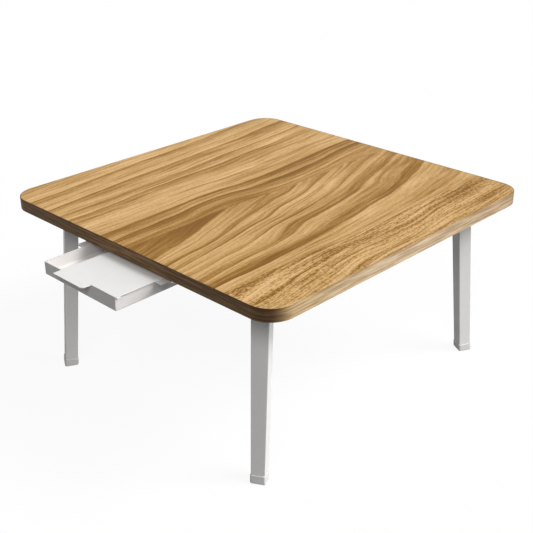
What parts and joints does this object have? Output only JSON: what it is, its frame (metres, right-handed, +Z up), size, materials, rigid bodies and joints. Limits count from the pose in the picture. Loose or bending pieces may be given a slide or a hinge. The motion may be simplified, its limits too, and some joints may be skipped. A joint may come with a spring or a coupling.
{
  "type": "portable low table",
  "caption": "Square low table with a wood-grain top, fold-in splayed steel legs and a shallow pull-out pen drawer with a sliding lid, for use while sitting on the floor.",
  "frame": {"origin": "on the floor, under the centre of the table top", "axes": "+Z up, -Y towards the side that the drawer opens on, +X to the right seen from that side"},
  "size_m": [0.6, 0.6975, 0.315],
  "materials": {
    "fibreboard": "sanded board",
    "wood_grain_laminate": "satin wood-grain laminate",
    "wood_grain_band": "matte wood-grain edge strip",
    "white_backing": "matte melamine",
    "white_paint": "satin powder coat",
    "plated_steel": "zinc plated sheet",
    "spring_steel": "blued strip",
    "bright_steel": "zinc plated",
    "grey_nylon": "moulded",
    "pale_plastic": "moulded",
    "white_plastic": "satin moulded"
  },
  "bodies": {
    "table_top": {"tabletop_core": "fibreboard", "top_laminate": "wood_grain_laminate", "backing_sheet": "white_backing", "edge_band": "wood_grain_band", "leg_bracket_front_left": "plated_steel", "leaf_spring_front_left": "spring_steel", "hinge_pin_front_left": "bright_steel", "leg_bracket_front_right": "plated_steel", "leaf_spring_front_right": "spring_steel", "hinge_pin_front_right": "bright_steel", "leg_bracket_back_right": "plated_steel", "leaf_spring_back_right": "spring_steel", "hinge_pin_back_right": "bright_steel", "leg_bracket_back_left": "plated_steel", "leaf_spring_back_left": "spring_steel", "hinge_pin_back_left": "bright_steel", "bracket_screws": "bright_steel", "drawer_rail_left": "plated_steel", "drawer_rail_right": "plated_steel", "rail_screws": "bright_steel"},
    "leg_front_left": {"leg_tube_front_left": "white_paint", "leg_knuckle_front_left": "grey_nylon", "foot_cap_front_left": "pale_plastic"},
    "leg_front_right": {"leg_tube_front_right": "white_paint", "leg_knuckle_front_right": "grey_nylon", "foot_cap_front_right": "pale_plastic"},
    "leg_back_right": {"leg_tube_back_right": "white_paint", "leg_knuckle_back_right": "grey_nylon", "foot_cap_back_right": "pale_plastic"},
    "leg_back_left": {"leg_tube_back_left": "white_paint", "leg_knuckle_back_left": "grey_nylon", "foot_cap_back_left": "pale_plastic"},
    "drawer": {"drawer_tray": "white_plastic"},
    "lid": {"drawer_lid": "white_plastic"}
  },
  "joints": [
    {"name": "leg_fold_front_left", "type": "hinge", "parent": "table_top", "child": "leg_front_left", "pos_m": [-0.224, -0.24, 0.261], "axis": [0.8746, -0.4848, 0], "range_deg": [0, 95.3]},
    {"name": "leg_fold_front_right", "type": "hinge", "parent": "table_top", "child": "leg_front_right", "pos_m": [0.224, -0.24, 0.261], "axis": [0.8746, 0.4848, 0], "range_deg": [0, 95.3]},
    {"name": "leg_fold_back_right", "type": "hinge", "parent": "table_top", "child": "leg_back_right", "pos_m": [0.224, 0.24, 0.261], "axis": [-0.8746, 0.4848, 0], "range_deg": [0, 95.3]},
    {"name": "leg_fold_back_left", "type": "hinge", "parent": "table_top", "child": "leg_back_left", "pos_m": [-0.224, 0.24, 0.261], "axis": [-0.8746, -0.4848, 0], "range_deg": [0, 95.3]},
    {"name": "drawer_slide", "type": "slide", "parent": "table_top", "child": "drawer", "axis": [0, -1, 0], "range_m": [-0.082, 0.06]},
    {"name": "lid_slide", "type": "slide", "parent": "drawer", "child": "lid", "axis": [0, 1, 0], "range_m": [0, 0.07]}
  ]
}
